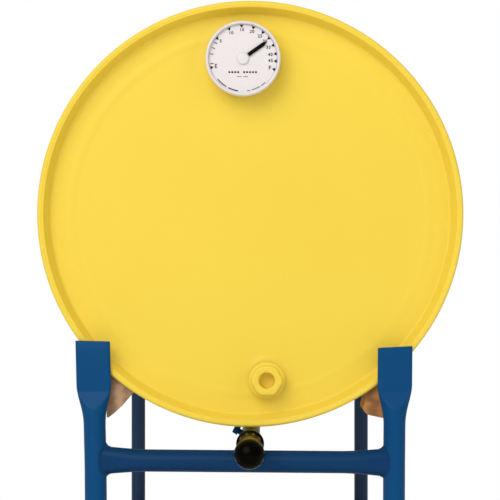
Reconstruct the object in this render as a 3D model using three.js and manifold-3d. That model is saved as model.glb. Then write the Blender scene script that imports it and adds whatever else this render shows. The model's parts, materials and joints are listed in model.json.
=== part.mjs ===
// Tubular drum dolly carrying a 210 litre steel drum on its side, in millimetres, +Z up.
// The dolly stands on z = 0, the drum's axis runs along Y, and the pull handle points to -Y.
import * as THREE from 'three';
import { mergeVertices } from 'three/addons/utils/BufferGeometryUtils.js';
import Module from 'manifold-3d';

const wasm = await Module();
wasm.setup();

// Clearances
const GAP = 0.3; // left between pieces that touch
const CUT = 1; // how far a cutting tool runs past a face

// Drum
const DRUM_Z = 692.5; // height of the drum's axis
const DRUM_FRONT = 5;
const DRUM_REAR = 885;
const CHIME_R = 292.5;
const BODY_R = 286;
const HOOP_R = 298.5;
const SHEET = 1.2;
const CHIME_DEPTH = 11;
const HEAD_INSET = 20; // from the chime's edge to the flat of the head
const HOOPS = [295, 595];
const HOOP_HALF = 14;
const HOOP_CREST = 2;
const ROUND_DRUM = 44; // facets round the drum

// Frame tubes
const FRAME_X = -7.2; // the drum sits a little right of the frame's middle
const SIDE_HALF = 203.7; // from the frame's middle to each side
const POST_R = 15;
const RAIL_R = 12.5;
const WALL = 2.5;
const REAR_Y = 760; // axis of the rear legs
const RAIL_START = 8;
const RAIL_BEND = 75;
const CROSS_Z = 354;
const CROSS_SLOPE = 0.0084; // the cross tube falls this much per millimetre to the right
const LEAN_FROM = 330; // the posts lean outwards from here up
const LEAN_OVER = 155;
const SIDES = [
  { side: 'left', sign: -1, x: FRAME_X - SIDE_HALF, top: 519.3, lean: -3.6 },
  { side: 'right', sign: 1, x: FRAME_X + SIDE_HALF, top: 511.8, lean: 1.4 },
];
const PRONG_LOW = 458.5; // the prong is flat from here up
const NECK_LOW = 402; // and round from here down
const PRONG_WIDTH = 47.4;
const PRONG_THICK = 8;

// Casters and lower frame
const WHEEL_R = 63.5;
const WHEEL_HALF = 16;
const RIM_R = 50;
const CASTER_TOP = 154;
const TOP_PLATE = 4;
const MOUNT_PLATE = 5;
const PLATE_HALF_X = 42.5;
const PLATE_HALF_Y = 50;
const LOWER_Z = CASTER_TOP + MOUNT_PLATE + 2 * GAP + POST_R;
const FORK_INNER = 20;
const FORK_SHEET = 4;
const AXLE_R = 5;
const FRONT_CASTER_Y = 24;
const REAR_CASTER_Y = 735;
const TRAIL = 35; // from the kingpin back to the rear wheel's axle
const RACE_R = 32;
const CROWN_LOW = 133;
const CROWN_TOP = 140;
const KINGPIN_R = 6;
const PEDAL_BACK = 45; // pedal pin behind the axle
const PEDAL_Z = 118;

// Pull handle
const HANDLE_Z = 380;
const ROD_R = 9.5;
const ROD_END = 700;
const GRIP_FRONT = -165;
const GRIP_REAR = -18;
const GRIP_R = 19.8;
const SLEEVE_R = 13;
const SLEEVE_FRONT = 17;
const SLEEVE_REAR = 270;
const COLLAR_Y = 640;
const SCREW_Y = 60;
const SCREW_ANGLE = Math.PI / 6; // the lock screw points up and out by this much

// Bungs and level gauge
const GAUGE = { x: -9.7, z: DRUM_Z + 211.8 };
const PLUG = { x: 22.7, z: DRUM_Z - 228.6 };
const GAUGE_R = 51.5;
const GAUGE_FACE = -7;
const STEM_R = 29;
const NEEDLE_ANGLE = THREE.MathUtils.degToRad(35.3); // above +X
const ARM_PIVOT_Y = 86;
const ARM_LENGTH = 425;
const ARM_ANGLE = THREE.MathUtils.degToRad(-16.6); // above +Y
const FLOAT_R = 30;

// The object's middle between the grip's front and the drum's rear edge
const MIDDLE_Y = (GRIP_FRONT + DRUM_REAR) / 2;

const blue = paint(0x114b7d, 0.45, 0.3);
const yellow = paint(0xf2d24d, 0.45, 0.15);
const zinc = paint(0xaeb2b6, 0.4, 0.8);
const steel = paint(0x8b9094, 0.35, 0.9);
const black = paint(0x0b0b0c, 0.18, 0);
const rubber = paint(0x1c1c1d, 0.8, 0);
const wheelGrey = paint(0x6d7072, 0.6, 0);
const wood = paint(0xb08c64, 0.7, 0);
const white = paint(0xe6e4e4, 0.4, 0);
const glass = paint(0xdfe6ea, 0.05, 0);
const seal = paint(0x2b2b2d, 0.85, 0);
const floatBlack = paint(0x252628, 0.6, 0);

const dolly = new THREE.Group();
dolly.position.y = -MIDDLE_Y;

function paint(color, roughness, metalness) {
  return new THREE.MeshStandardMaterial({ color, roughness, metalness });
}

function add(name, geometry, material, x = 0, y = 0, z = 0) {
  const mesh = new THREE.Mesh(geometry, material);
  mesh.name = name;
  mesh.position.set(x, y, z);
  dolly.add(mesh);
  return mesh;
}

function toSolid(geometry) {
  const bare = geometry.clone();
  bare.deleteAttribute('normal');
  bare.deleteAttribute('uv');
  const welded = mergeVertices(bare, 1e-3);
  const corners = welded.index.array;
  const kept = [];
  for (let i = 0; i < corners.length; i += 3) {
    const [a, b, c] = corners.slice(i, i + 3);
    if (a !== b && b !== c && c !== a) kept.push(a, b, c);
  }
  return new wasm.Manifold(new wasm.Mesh({
    numProp: 3,
    vertProperties: Float32Array.from(welded.attributes.position.array),
    triVerts: Uint32Array.from(kept),
  }));
}

function toGeometry(solid) {
  const { vertProperties, triVerts } = solid.getMesh();
  const geometry = new THREE.BufferGeometry();
  geometry.setAttribute('position', new THREE.BufferAttribute(vertProperties, 3));
  geometry.setIndex(new THREE.BufferAttribute(triVerts, 1));
  return geometry;
}

function cut(geometry, ...tools) {
  return toGeometry(tools.reduce((solid, tool) => solid.subtract(toSolid(tool)), toSolid(geometry)));
}

function join(geometry, ...others) {
  return toGeometry(others.reduce((solid, other) => solid.add(toSolid(other)), toSolid(geometry)));
}

// A turned piece round the Y axis from a closed outline of [radius, y] corners.
function turned(outline, facets = 16) {
  const corners = outline.map(([radius, y]) => new THREE.Vector2(radius, y));
  const ordered = THREE.ShapeUtils.isClockWise(corners) ? corners.reverse() : corners;
  const bare = new THREE.LatheGeometry([...ordered, ordered[0].clone()], facets);
  return toGeometry(toSolid(bare));
}

function aboutX(geometry) {
  return geometry.rotateZ(-Math.PI / 2);
}

function aboutZ(geometry) {
  return geometry.rotateX(Math.PI / 2);
}

function rod(radius, from, to, facets = 16) {
  return turned([[0, from], [radius, from], [radius, to], [0, to]], facets);
}

function ring(inner, outer, from, to, facets = 16) {
  return turned([[inner, from], [outer, from], [outer, to], [inner, to]], facets);
}

function box(low, high) {
  const size = high.map((value, i) => value - low[i]);
  const middle = high.map((value, i) => (value + low[i]) / 2);
  return new THREE.BoxGeometry(...size).translate(...middle);
}

// A plate of the given [y, z] outline, between two x places.
function plateInYZ(outline, fromX, toX) {
  const shape = new THREE.Shape(outline.map(([y, z]) => new THREE.Vector2(y, z)));
  const plate = new THREE.ExtrudeGeometry(shape, { depth: toX - fromX, bevelEnabled: false });
  plate.applyMatrix4(new THREE.Matrix4().set(0, 0, 1, fromX, 1, 0, 0, 0, 0, 1, 0, 0, 0, 0, 0, 1));
  return plate;
}

// Closes a row of rings of points, each with the same number of points, into one skin.
function loft(rings) {
  const count = rings[0].length;
  const last = (rings.length - 1) * count;
  const points = rings.flat();
  const faces = [];
  for (let row = 0; row < rings.length - 1; row += 1) {
    for (let i = 0; i < count; i += 1) {
      const a = row * count + i;
      const b = row * count + (i + 1) % count;
      faces.push(a, b, b + count, a, b + count, a + count);
    }
  }
  for (let i = 1; i < count - 1; i += 1) {
    faces.push(0, i + 1, i, last, last + i, last + i + 1);
  }
  const geometry = new THREE.BufferGeometry().setFromPoints(points);
  geometry.setIndex(faces);
  const solid = toSolid(geometry);
  return toGeometry(solid);
}

// A tube that was pressed flat: two half rounds joined by straight sides.
function pressedRing(width, depth, place, count = 20) {
  const radius = depth / 2;
  const reach = (width - depth) / 2;
  return Array.from({ length: count }, (_, i) => {
    const angle = (2 * Math.PI * (i + 0.5)) / count;
    const side = Math.sign(Math.cos(angle)) * reach;
    return place(side + radius * Math.cos(angle), radius * Math.sin(angle));
  });
}

// The height of a side rail's axis that lets the drum's hoops rest on it.
function railHeight(x) {
  return DRUM_Z - Math.sqrt((HOOP_R + GAP + RAIL_R) ** 2 - x ** 2);
}

function addFrontPost({ side, x, top, lean }) {
  const rounding = 1;
  const steps = 6;
  const levels = Array.from({ length: steps + 1 }, (_, i) => i / steps);
  const place = (z) => {
    const out = lean * Math.max(0, (z - LEAN_FROM) / LEAN_OVER);
    return (u, v) => new THREE.Vector3(u + out, v, z);
  };
  const bottom = CASTER_TOP + MOUNT_PLATE + 2 * GAP;
  const round = (z) => pressedRing(2 * POST_R, 2 * POST_R, place(z));
  const rings = [round(bottom), round(LEAN_FROM)];
  levels.forEach((level) => {
    const ease = THREE.MathUtils.smoothstep(level ** 1.2, 0, 1);
    const width = THREE.MathUtils.lerp(2 * POST_R, PRONG_WIDTH, ease);
    const depth = THREE.MathUtils.lerp(2 * POST_R, PRONG_THICK, ease);
    rings.push(pressedRing(width, depth, place(THREE.MathUtils.lerp(NECK_LOW, PRONG_LOW, level))));
  });
  rings.push(pressedRing(PRONG_WIDTH, PRONG_THICK, place(top - rounding)));
  rings.push(pressedRing(PRONG_WIDTH - 2 * rounding, PRONG_THICK, place(top)));
  const bore = aboutZ(rod(POST_R - WALL, bottom - CUT, LEAN_FROM));
  add(`front_post_${side}`, cut(loft(rings), bore), blue, x);
}

// The front cross tube's ends are pressed upright and coped round the posts.
function addFrontCrossTube() {
  const reach = SIDE_HALF - 8;
  const place = (x) => (u, v) => new THREE.Vector3(x, -v, u - CROSS_SLOPE * x);
  const ends = [[150, 30, 30], [165, 31.5, 28.5], [178, 36, 25.5], [reach, 39, 24]];
  const right = ends.map(([x, tall, deep]) => pressedRing(tall, deep, place(x)));
  const left = ends.map(([x, tall, deep]) => pressedRing(tall, deep, place(-x))).reverse();
  const tube = loft([...left, ...right]).translate(FRAME_X, 0, CROSS_Z);
  const copes = SIDES.map(({ x }) => (
    aboutZ(rod(POST_R + GAP, CROSS_Z - 40, CROSS_Z + 40, 24)).translate(x, 0, 0)));
  add('front_cross_tube', cut(tube, ...copes), blue);
}

// A rail that carries the drum's hoops, then bends down into the rear leg.
function addSideRail({ side, x }) {
  const turns = 5;
  const foot = LOWER_Z + POST_R + GAP;
  const bendY = REAR_Y - RAIL_BEND;
  const railZ = railHeight(x);
  const bendZ = railZ - RAIL_BEND;
  const stations = [[RAIL_START, railZ, 0]];
  for (let i = 0; i <= turns; i += 1) {
    const angle = (Math.PI / 2) * (i / turns);
    stations.push([bendY + RAIL_BEND * Math.sin(angle), bendZ + RAIL_BEND * Math.cos(angle), angle]);
  }
  stations.push([REAR_Y, foot, Math.PI / 2]);
  const tube = (radius, overrun) => loft(stations.map(([y, z, angle], i) => {
    const past = (i === 0 ? -overrun : 0) + (i === stations.length - 1 ? overrun : 0);
    const alongY = past * Math.cos(angle);
    const alongZ = -past * Math.sin(angle);
    return pressedRing(2 * radius, 2 * radius, (u, v) => new THREE.Vector3(
      -u, y + alongY + v * Math.sin(angle), z + alongZ + v * Math.cos(angle)), 14);
  }));
  add(`side_rail_${side}`, cut(tube(RAIL_R, 0), tube(RAIL_R - WALL, CUT)), blue, x);
}

function addLowerFrame() {
  const inner = POST_R - WALL;
  const reach = SIDE_HALF - 4;
  const span = SIDE_HALF - POST_R - GAP;
  const front = aboutX(ring(inner, POST_R, -reach, reach, 20)).translate(FRAME_X, 0, LOWER_Z);
  const copes = SIDES.map(({ x }) => (
    aboutZ(rod(POST_R + GAP, LOWER_Z - 30, LOWER_Z + 30)).translate(x, 0, 0)));
  add('lower_front_cross_tube', cut(front, ...copes), blue);
  const rear = aboutX(ring(inner, POST_R, -span, span, 20));
  add('lower_rear_cross_tube', rear, blue, FRAME_X, REAR_Y - 40, LOWER_Z);
  SIDES.forEach(({ side, x }) => {
    const rail = ring(inner, POST_R, POST_R + GAP, REAR_Y + 40, 20);
    add(`lower_side_rail_${side}`, rail, blue, x, 0, LOWER_Z);
    [['front', FRONT_CASTER_Y], ['rear', REAR_CASTER_Y]].forEach(([end, y]) => {
      const plate = box([-PLATE_HALF_X, -PLATE_HALF_Y, 0], [PLATE_HALF_X, PLATE_HALF_Y, MOUNT_PLATE]);
      add(`${end}_mounting_plate_${side}`, plate, blue, x, y, CASTER_TOP + GAP);
    });
  });
}

// Hardwood saddle blocks sit over the rails and hold the drum's body behind the front posts.
function addChock({ side, sign, x }, innerEdge) {
  const front = 17;
  const depth = 75;
  const seat = BODY_R + 1;
  const railX = Math.abs(x);
  const outer = railX + 15;
  const slot = RAIL_R + 2 * GAP;
  const slotSides = 8;
  const railUp = railHeight(x) - DRUM_Z;
  const start = Math.atan2(-Math.sqrt(seat ** 2 - innerEdge[0][0] ** 2), innerEdge[0][0]);
  const end = Math.atan2(-Math.sqrt(seat ** 2 - outer ** 2), outer);
  const arc = Array.from({ length: 8 }, (_, i) => THREE.MathUtils.lerp(end, start, i / 7));
  const outline = [
    ...arc.map((angle) => [seat * Math.cos(angle), seat * Math.sin(angle)]),
    ...innerEdge.slice(1),
    [railX - slot, innerEdge.at(-1)[1]],
    [railX - slot, railUp],
    ...Array.from({ length: slotSides - 1 }, (_, i) => Math.PI * (1 - (i + 1) / slotSides)).map((turn) => [
      railX + slot * Math.cos(turn), railUp + slot * Math.sin(turn)]),
    [railX + slot, railUp],
    [railX + slot, -272],
    [outer, -272],
  ];
  const shape = new THREE.Shape(outline.map(([across, z]) => new THREE.Vector2(sign * across, z)));
  const block = new THREE.ExtrudeGeometry(shape, { depth, bevelEnabled: false });
  block.rotateX(Math.PI / 2).translate(0, front + depth, DRUM_Z);
  add(`chock_${side}`, toGeometry(toSolid(block)), wood);
}

function addHandle() {
  const shank = GRIP_REAR - 100;
  const rib = 2.2;
  const dome = Array.from({ length: 7 }, (_, i) => {
    const angle = (Math.PI / 2) * (i / 6);
    return [GRIP_R * Math.sin(angle), GRIP_FRONT + GRIP_R * (1 - Math.cos(angle))];
  });
  const ribs = [-62, -50, -38].flatMap((y) => [
    [15.5, y - 4], [15.5 - rib, y - 2], [15.5 - rib, y + 2], [15.5, y + 4]]);
  const grip = turned([
    ...dome,
    [GRIP_R, GRIP_FRONT + 32],
    [15.5, GRIP_FRONT + 62],
    ...ribs,
    [19, GRIP_REAR - 8],
    [19, GRIP_REAR],
    [ROD_R + GAP, GRIP_REAR],
    [ROD_R + GAP, shank],
    [0, shank],
  ], 18);
  add('handle_grip', grip, black, 0, 0, HANDLE_Z);
  add('handle_rod', rod(ROD_R, shank + GAP, ROD_END, 16), zinc, 0, 0, HANDLE_Z);
  const bore = ROD_R + GAP;
  const tap = rod(4.4, 0, 40, 12).rotateX(Math.PI / 2).rotateY(SCREW_ANGLE - Math.PI / 2);
  const sleeve = ring(bore, SLEEVE_R, SLEEVE_FRONT, SLEEVE_REAR, 18);
  add('handle_sleeve', cut(sleeve, tap.translate(0, SCREW_Y, 0)), blue, 0, 0, HANDLE_Z);
  const collar = ring(bore, SLEEVE_R, COLLAR_Y, COLLAR_Y + 18, 18);
  add('handle_stop_collar', collar, zinc, 0, 0, HANDLE_Z);
  const low = CROSS_Z - HANDLE_Z - 8;
  const web = box([-4, POST_R - 3, low], [4, 62, -SLEEVE_R + 3]);
  const tubeCope = aboutX(rod(POST_R + GAP, -10, 10, 24)).translate(0, 0, CROSS_Z - HANDLE_Z);
  const sleeveCope = rod(SLEEVE_R + GAP, SLEEVE_FRONT - 10, 80, 24);
  add('sleeve_gusset', cut(web, tubeCope, sleeveCope), blue, 0, 0, HANDLE_Z);
  const strap = cut(
    join(rod(ROD_R + 4.2, -9, 9, 28), box([-ROD_R - 4.2, -9, low + 12], [ROD_R + 4.2, 9, 0])),
    rod(bore, -10, 10, 28),
    aboutX(rod(POST_R + GAP, -20, 20, 24)).translate(0, 0, CROSS_Z - HANDLE_Z),
  );
  add('handle_guide', strap, blue, 0, 0, HANDLE_Z);
  const screw = turned([
    [0, ROD_R + 2 * GAP], [4, ROD_R + 2 * GAP], [4, 19], [7, 19], [7, 26], [5.5, 27], [0, 27],
  ], 18);
  screw.rotateX(Math.PI / 2).rotateY(SCREW_ANGLE - Math.PI / 2);
  add('handle_lock_screw', screw, blue, 0, SCREW_Y, HANDLE_Z);
}

function forkLegs(outline) {
  return [-FORK_INNER - FORK_SHEET, FORK_INNER].map((near) => (
    plateInYZ(outline, near, near + FORK_SHEET)));
}

function addWheel(name, x, y) {
  const tread = WHEEL_R;
  const hub = WHEEL_HALF + 2;
  const core = [
    [AXLE_R + GAP, -hub], [12, -hub], [14, -6], [RIM_R, -13], [RIM_R, 13], [14, 6], [12, hub],
    [AXLE_R + GAP, hub]];
  const bead = RIM_R + 2 * GAP;
  const tyre = [[bead, -13], [58, -WHEEL_HALF], [tread, -9], [tread, 9], [58, WHEEL_HALF], [bead, 13]];
  const pin = [
    [0, -27], [8, -27], [8, -24.3], [AXLE_R, -24.3], [AXLE_R, 24.3], [8, 24.3], [8, 27], [0, 27]];
  add(`${name}_core`, aboutX(turned(core, 20)), wheelGrey, x, y, WHEEL_R);
  add(`${name}_tyre`, aboutX(turned(tyre, 24)), rubber, x, y, WHEEL_R);
  add(`${name}_axle`, aboutX(turned(pin, 10)), zinc, x, y, WHEEL_R);
}

function addFrontCaster({ side, x }) {
  const plateLow = CASTER_TOP - TOP_PLATE;
  const leg = [[-15, 52], [15, 52], [34, plateLow + CUT], [-34, plateLow + CUT]];
  const top = box([-PLATE_HALF_X, -PLATE_HALF_Y, plateLow], [PLATE_HALF_X, PLATE_HALF_Y, CASTER_TOP]);
  const pinHole = aboutX(rod(AXLE_R + GAP, -40, 40, 16)).translate(0, 0, WHEEL_R);
  const fork = cut(join(top, ...forkLegs(leg)), pinHole);
  add(`rigid_fork_${side}`, fork, zinc, x, FRONT_CASTER_Y);
  addWheel(`front_wheel_${side}`, x, FRONT_CASTER_Y);
}

function addRearCaster({ side, x }) {
  const plateLow = CASTER_TOP - TOP_PLATE;
  const top = box([-PLATE_HALF_X, -PLATE_HALF_Y, plateLow], [PLATE_HALF_X, PLATE_HALF_Y, CASTER_TOP]);
  const race = aboutZ(rod(RACE_R, CROWN_TOP + GAP, plateLow + CUT, 20));
  const kingHole = aboutZ(rod(KINGPIN_R + GAP, 100, 200, 16));
  add(`swivel_plate_${side}`, cut(join(top, race), kingHole), zinc, x, REAR_CASTER_Y);

  const axleY = TRAIL;
  const pedalY = TRAIL + PEDAL_BACK;
  const leg = [
    [axleY - 14, 52], [axleY + 14, 52], [pedalY + 9, PEDAL_Z - 6], [pedalY + 9, PEDAL_Z + 9],
    [38, CROWN_TOP], [-26, CROWN_TOP], [-26, CROWN_LOW - 6]];
  const crown = aboutZ(rod(RACE_R + 4, CROWN_LOW, CROWN_TOP, 20));
  const kingpin = aboutZ(rod(KINGPIN_R, CROWN_TOP - CUT, CASTER_TOP - GAP, 16));
  const holes = [[axleY, WHEEL_R, AXLE_R], [pedalY, PEDAL_Z, 4]].map(([y, z, radius]) => (
    aboutX(rod(radius + GAP, -40, 40, 16)).translate(0, y, z)));
  const fork = cut(join(crown, kingpin, ...forkLegs(leg)), ...holes);
  add(`swivel_fork_${side}`, fork, zinc, x, REAR_CASTER_Y);
  addWheel(`rear_wheel_${side}`, x, REAR_CASTER_Y + axleY);

  const tread = FORK_INNER - 1;
  const lever = join(
    plateInYZ([[-5, -2], [2, -5], [58, 8], [58, 13], [6, 6], [-5, 4]], -tread, tread),
    box([-24, 18, 1], [24, 20, 5]),
    aboutX(rod(4, -27, 27, 16)),
  );
  add(`brake_pedal_${side}`, lever, steel, x, REAR_CASTER_Y + pedalY, PEDAL_Z);
}

function addDrum() {
  const inner = BODY_R - SHEET;
  const swell = HOOPS.flatMap((y) => [
    [BODY_R, y - HOOP_HALF], [HOOP_R, y - HOOP_CREST], [HOOP_R, y + HOOP_CREST], [BODY_R, y + HOOP_HALF]]);
  const lip = 1.8;
  const chime = [
    [inner + 0.6, DRUM_FRONT + lip], [BODY_R + 2, DRUM_FRONT], [CHIME_R, DRUM_FRONT + lip],
    [CHIME_R, DRUM_FRONT + CHIME_DEPTH - 2], [BODY_R, DRUM_FRONT + CHIME_DEPTH]];
  const backChime = chime.map(([radius, y]) => [radius, DRUM_FRONT + DRUM_REAR - y]).reverse();
  const outside = [...chime, ...swell, ...backChime];
  const hollow = swell.map(([radius, y]) => [radius - SHEET, y]).reverse();
  const shell = turned([
    ...outside, [inner, DRUM_REAR - CHIME_DEPTH], ...hollow, [inner, DRUM_FRONT + CHIME_DEPTH],
  ], ROUND_DRUM);
  add('drum_shell', shell, yellow, 0, 0, DRUM_Z);

  const edge = inner - GAP;
  const flat = DRUM_FRONT + HEAD_INSET;
  const dish = [
    [0, flat], [edge - 14, flat], [edge - 5, flat - 3], [edge - SHEET, flat - 8],
    [edge - SHEET, DRUM_FRONT + 3], [edge, DRUM_FRONT + 3], [edge, flat - 6], [edge - 6, flat + SHEET],
    [0, flat + SHEET]];
  const hole = (place, radius) => (
    rod(radius, flat - 20, flat + 20, 20).translate(place.x, 0, place.z - DRUM_Z));
  const front = cut(turned(dish, ROUND_DRUM), hole(GAUGE, 36 + GAP), hole(PLUG, 19 + GAP));
  add('drum_front_head', front, yellow, 0, 0, DRUM_Z);
  const back = dish.map(([radius, y]) => [radius, DRUM_FRONT + DRUM_REAR - y]);
  add('drum_rear_head', turned(back, ROUND_DRUM), yellow, 0, 0, DRUM_Z);

  const flange = (bore, skirt, collar) => turned([
    [bore, flat - 9], [skirt, flat - 9], [skirt, flat + SHEET + GAP], [collar, flat + SHEET + GAP],
    [collar, flat + 6], [skirt, flat + 8], [skirt, flat + 20], [bore, flat + 20]], 20);
  add('gauge_bung_flange', flange(STEM_R + 3 * GAP, 36, 45), steel, GAUGE.x, 0, GAUGE.z);
  add('small_bung_flange', flange(13 + 2 * GAP, 19, 25), steel, PLUG.x, 0, PLUG.z);
}

function addPlug() {
  const seat = DRUM_FRONT + HEAD_INSET - 9;
  const gasketFront = seat - GAP - 2;
  const body = turned([
    [0, gasketFront - GAP - 5], [25, gasketFront - GAP - 5], [25, gasketFront - GAP],
    [13, gasketFront - GAP], [13, seat + 28], [0, seat + 28]], 24);
  const bossFront = gasketFront - 14;
  const acrossFlats = 40;
  const hexagon = new THREE.CylinderGeometry(
    acrossFlats / Math.sqrt(3), acrossFlats / Math.sqrt(3), 11, 6, 1, false, Math.PI / 6);
  const boss = toSolid(hexagon.translate(0, bossFront + 5.5, 0))
    .intersect(toSolid(rod(21.5, bossFront - 5, bossFront + 20, 24)));
  const recess = rod(10.6, bossFront - 5, seat + 1, 16);
  add('bung_plug', cut(join(body, toGeometry(boss)), recess), yellow, PLUG.x, 0, PLUG.z);
  const gasket = ring(13 + 2 * GAP, 18.5, gasketFront, seat - GAP, 20);
  add('bung_plug_gasket', gasket, seal, PLUG.x, 0, PLUG.z);
}

function addGauge() {
  const { x, z } = GAUGE;
  const seat = DRUM_FRONT + HEAD_INSET - 9;
  const back = GAUGE_FACE + 15;
  const dialFace = GAUGE_FACE + 6;
  const rim = GAUGE_R - 4.5;
  const shaftHole = 3.2;
  const housing = turned([
    [shaftHole, dialFace + 1.6], [rim, dialFace + 1.6], [rim, GAUGE_FACE + 1], [rim + 1, GAUGE_FACE],
    [GAUGE_R - 1, GAUGE_FACE], [GAUGE_R, GAUGE_FACE + 1], [GAUGE_R, back - 2], [GAUGE_R - 2, back],
    [33, back], [33, seat - GAP - 2], [STEM_R, seat - GAP - 2], [STEM_R, 58], [shaftHole, 58]], 32);
  add('gauge_case', housing, white, x, 0, z);
  add('gauge_gasket', ring(STEM_R + 3 * GAP, 35, seat - 2, seat - GAP, 20), seal, x, 0, z);
  add('gauge_dial', ring(shaftHole, rim - GAP, dialFace, dialFace + 1, 32), white, x, 0, z);
  add('gauge_lens', rod(rim - GAP, GAUGE_FACE + 1, GAUGE_FACE + 2.2, 32), glass, x, 0, z);

  const hubFront = GAUGE_FACE + 2.6;
  const outline = new THREE.Shape([
    new THREE.Vector2(-10, -2.2), new THREE.Vector2(34, -2.2), new THREE.Vector2(39.5, 0),
    new THREE.Vector2(34, 2.2), new THREE.Vector2(-10, 2.2)]);
  const blade = new THREE.ExtrudeGeometry(outline, { depth: 0.8, bevelEnabled: false });
  blade.rotateX(Math.PI / 2).translate(0, hubFront + 2.2, 0).rotateY(-NEEDLE_ANGLE);
  const shaftEnd = ARM_PIVOT_Y - 9;
  const pinion = turned([
    [0, hubFront], [8, hubFront], [8, hubFront + 3], [2.8, hubFront + 3], [2.8, shaftEnd - 6],
    [6, shaftEnd - 6], [5, shaftEnd], [0, shaftEnd]], 14);
  add('gauge_needle', join(pinion, toGeometry(toSolid(blade))), black, x, 0, z);

  // The forked bracket on the stem's end carries the float arm's pin.
  const cheeks = [-1, 1].map((sign) => box(
    [Math.min(sign * 11, sign * 15), 60, -9], [Math.max(sign * 11, sign * 15), ARM_PIVOT_Y + 10, 9]));
  const base = cut(rod(20, 58 + GAP, 63, 18), rod(shaftHole, 50, 70, 12));
  const pinHole = aboutX(rod(3 + GAP, -20, 20, 12)).translate(0, ARM_PIVOT_Y, 0);
  add('float_bracket', cut(join(base, ...cheeks), pinHole), steel, x, 0, z);

  const gear = aboutX(turned([[0, -17], [3, -17], [3, 5], [8, 5], [8, 9], [3, 9], [3, 17], [0, 17]], 12));
  const arm = join(gear, rod(3, 0, ARM_LENGTH, 8));
  arm.rotateX(ARM_ANGLE);
  add('float_arm', arm, steel, x, ARM_PIVOT_Y, z);
  const reach = ARM_LENGTH + GAP;
  const half = Math.PI / 2;
  const ball = Array.from({ length: 9 }, (_, i) => {
    const angle = -half + (2 * half * i) / 8;
    return [FLOAT_R * Math.cos(angle), reach + FLOAT_R + FLOAT_R * Math.sin(angle)];
  });
  add('float', turned(ball, 14).rotateX(ARM_ANGLE), floatBlack, x, ARM_PIVOT_Y, z);
}

SIDES.forEach((place) => {
  addFrontPost(place);
  addSideRail(place);
  addFrontCaster(place);
  addRearCaster(place);
});
const [leftSide, rightSide] = SIDES;
addChock(leftSide, [[163.5, 0], [163.5, -248], [184, -271], [195, -280]]);
addChock(rightSide, [[157.7, 0], [158.3, -257.5], [154.3, -268.6], [160.5, -276.2], [182, -281]]);
addFrontCrossTube();
addLowerFrame();
addHandle();
addDrum();
addPlug();
addGauge();

export default dolly;
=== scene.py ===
"""A tubular drum dolly with its drum, level gauge, plug, pull handle and casters.

Lengths are written in millimetres and turned into metres where a mesh is made.
"""
import json
import math

import bmesh
import bpy
from mathutils import Matrix, Vector, noise


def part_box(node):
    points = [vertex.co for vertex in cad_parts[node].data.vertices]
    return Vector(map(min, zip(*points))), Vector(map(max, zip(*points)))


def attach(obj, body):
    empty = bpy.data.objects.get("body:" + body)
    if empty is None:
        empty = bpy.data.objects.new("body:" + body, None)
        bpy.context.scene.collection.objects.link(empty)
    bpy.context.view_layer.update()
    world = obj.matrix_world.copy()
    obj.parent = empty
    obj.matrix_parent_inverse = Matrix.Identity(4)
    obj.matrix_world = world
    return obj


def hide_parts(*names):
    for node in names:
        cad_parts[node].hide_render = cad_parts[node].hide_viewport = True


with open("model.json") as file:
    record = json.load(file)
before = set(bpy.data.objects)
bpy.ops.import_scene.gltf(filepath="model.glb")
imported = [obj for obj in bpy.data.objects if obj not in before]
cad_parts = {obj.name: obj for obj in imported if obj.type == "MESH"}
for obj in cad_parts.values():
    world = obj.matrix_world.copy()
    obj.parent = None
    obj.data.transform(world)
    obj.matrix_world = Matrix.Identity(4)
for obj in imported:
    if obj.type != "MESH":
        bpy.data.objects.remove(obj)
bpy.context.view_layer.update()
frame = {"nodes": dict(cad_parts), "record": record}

MM = 0.001
RECORD = frame["record"]
SLOT_OF = {row["node"]: row["material_slot"] for row in RECORD["subparts"]}
BODY_OF = {node: body for body, nodes in RECORD["behaviour"]["bodies"].items() for node in nodes}
SIDES = ("left", "right")
FULL_TURN = 2 * math.pi
SMOOTH_BELOW = math.radians(32)


# ---- materials

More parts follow.
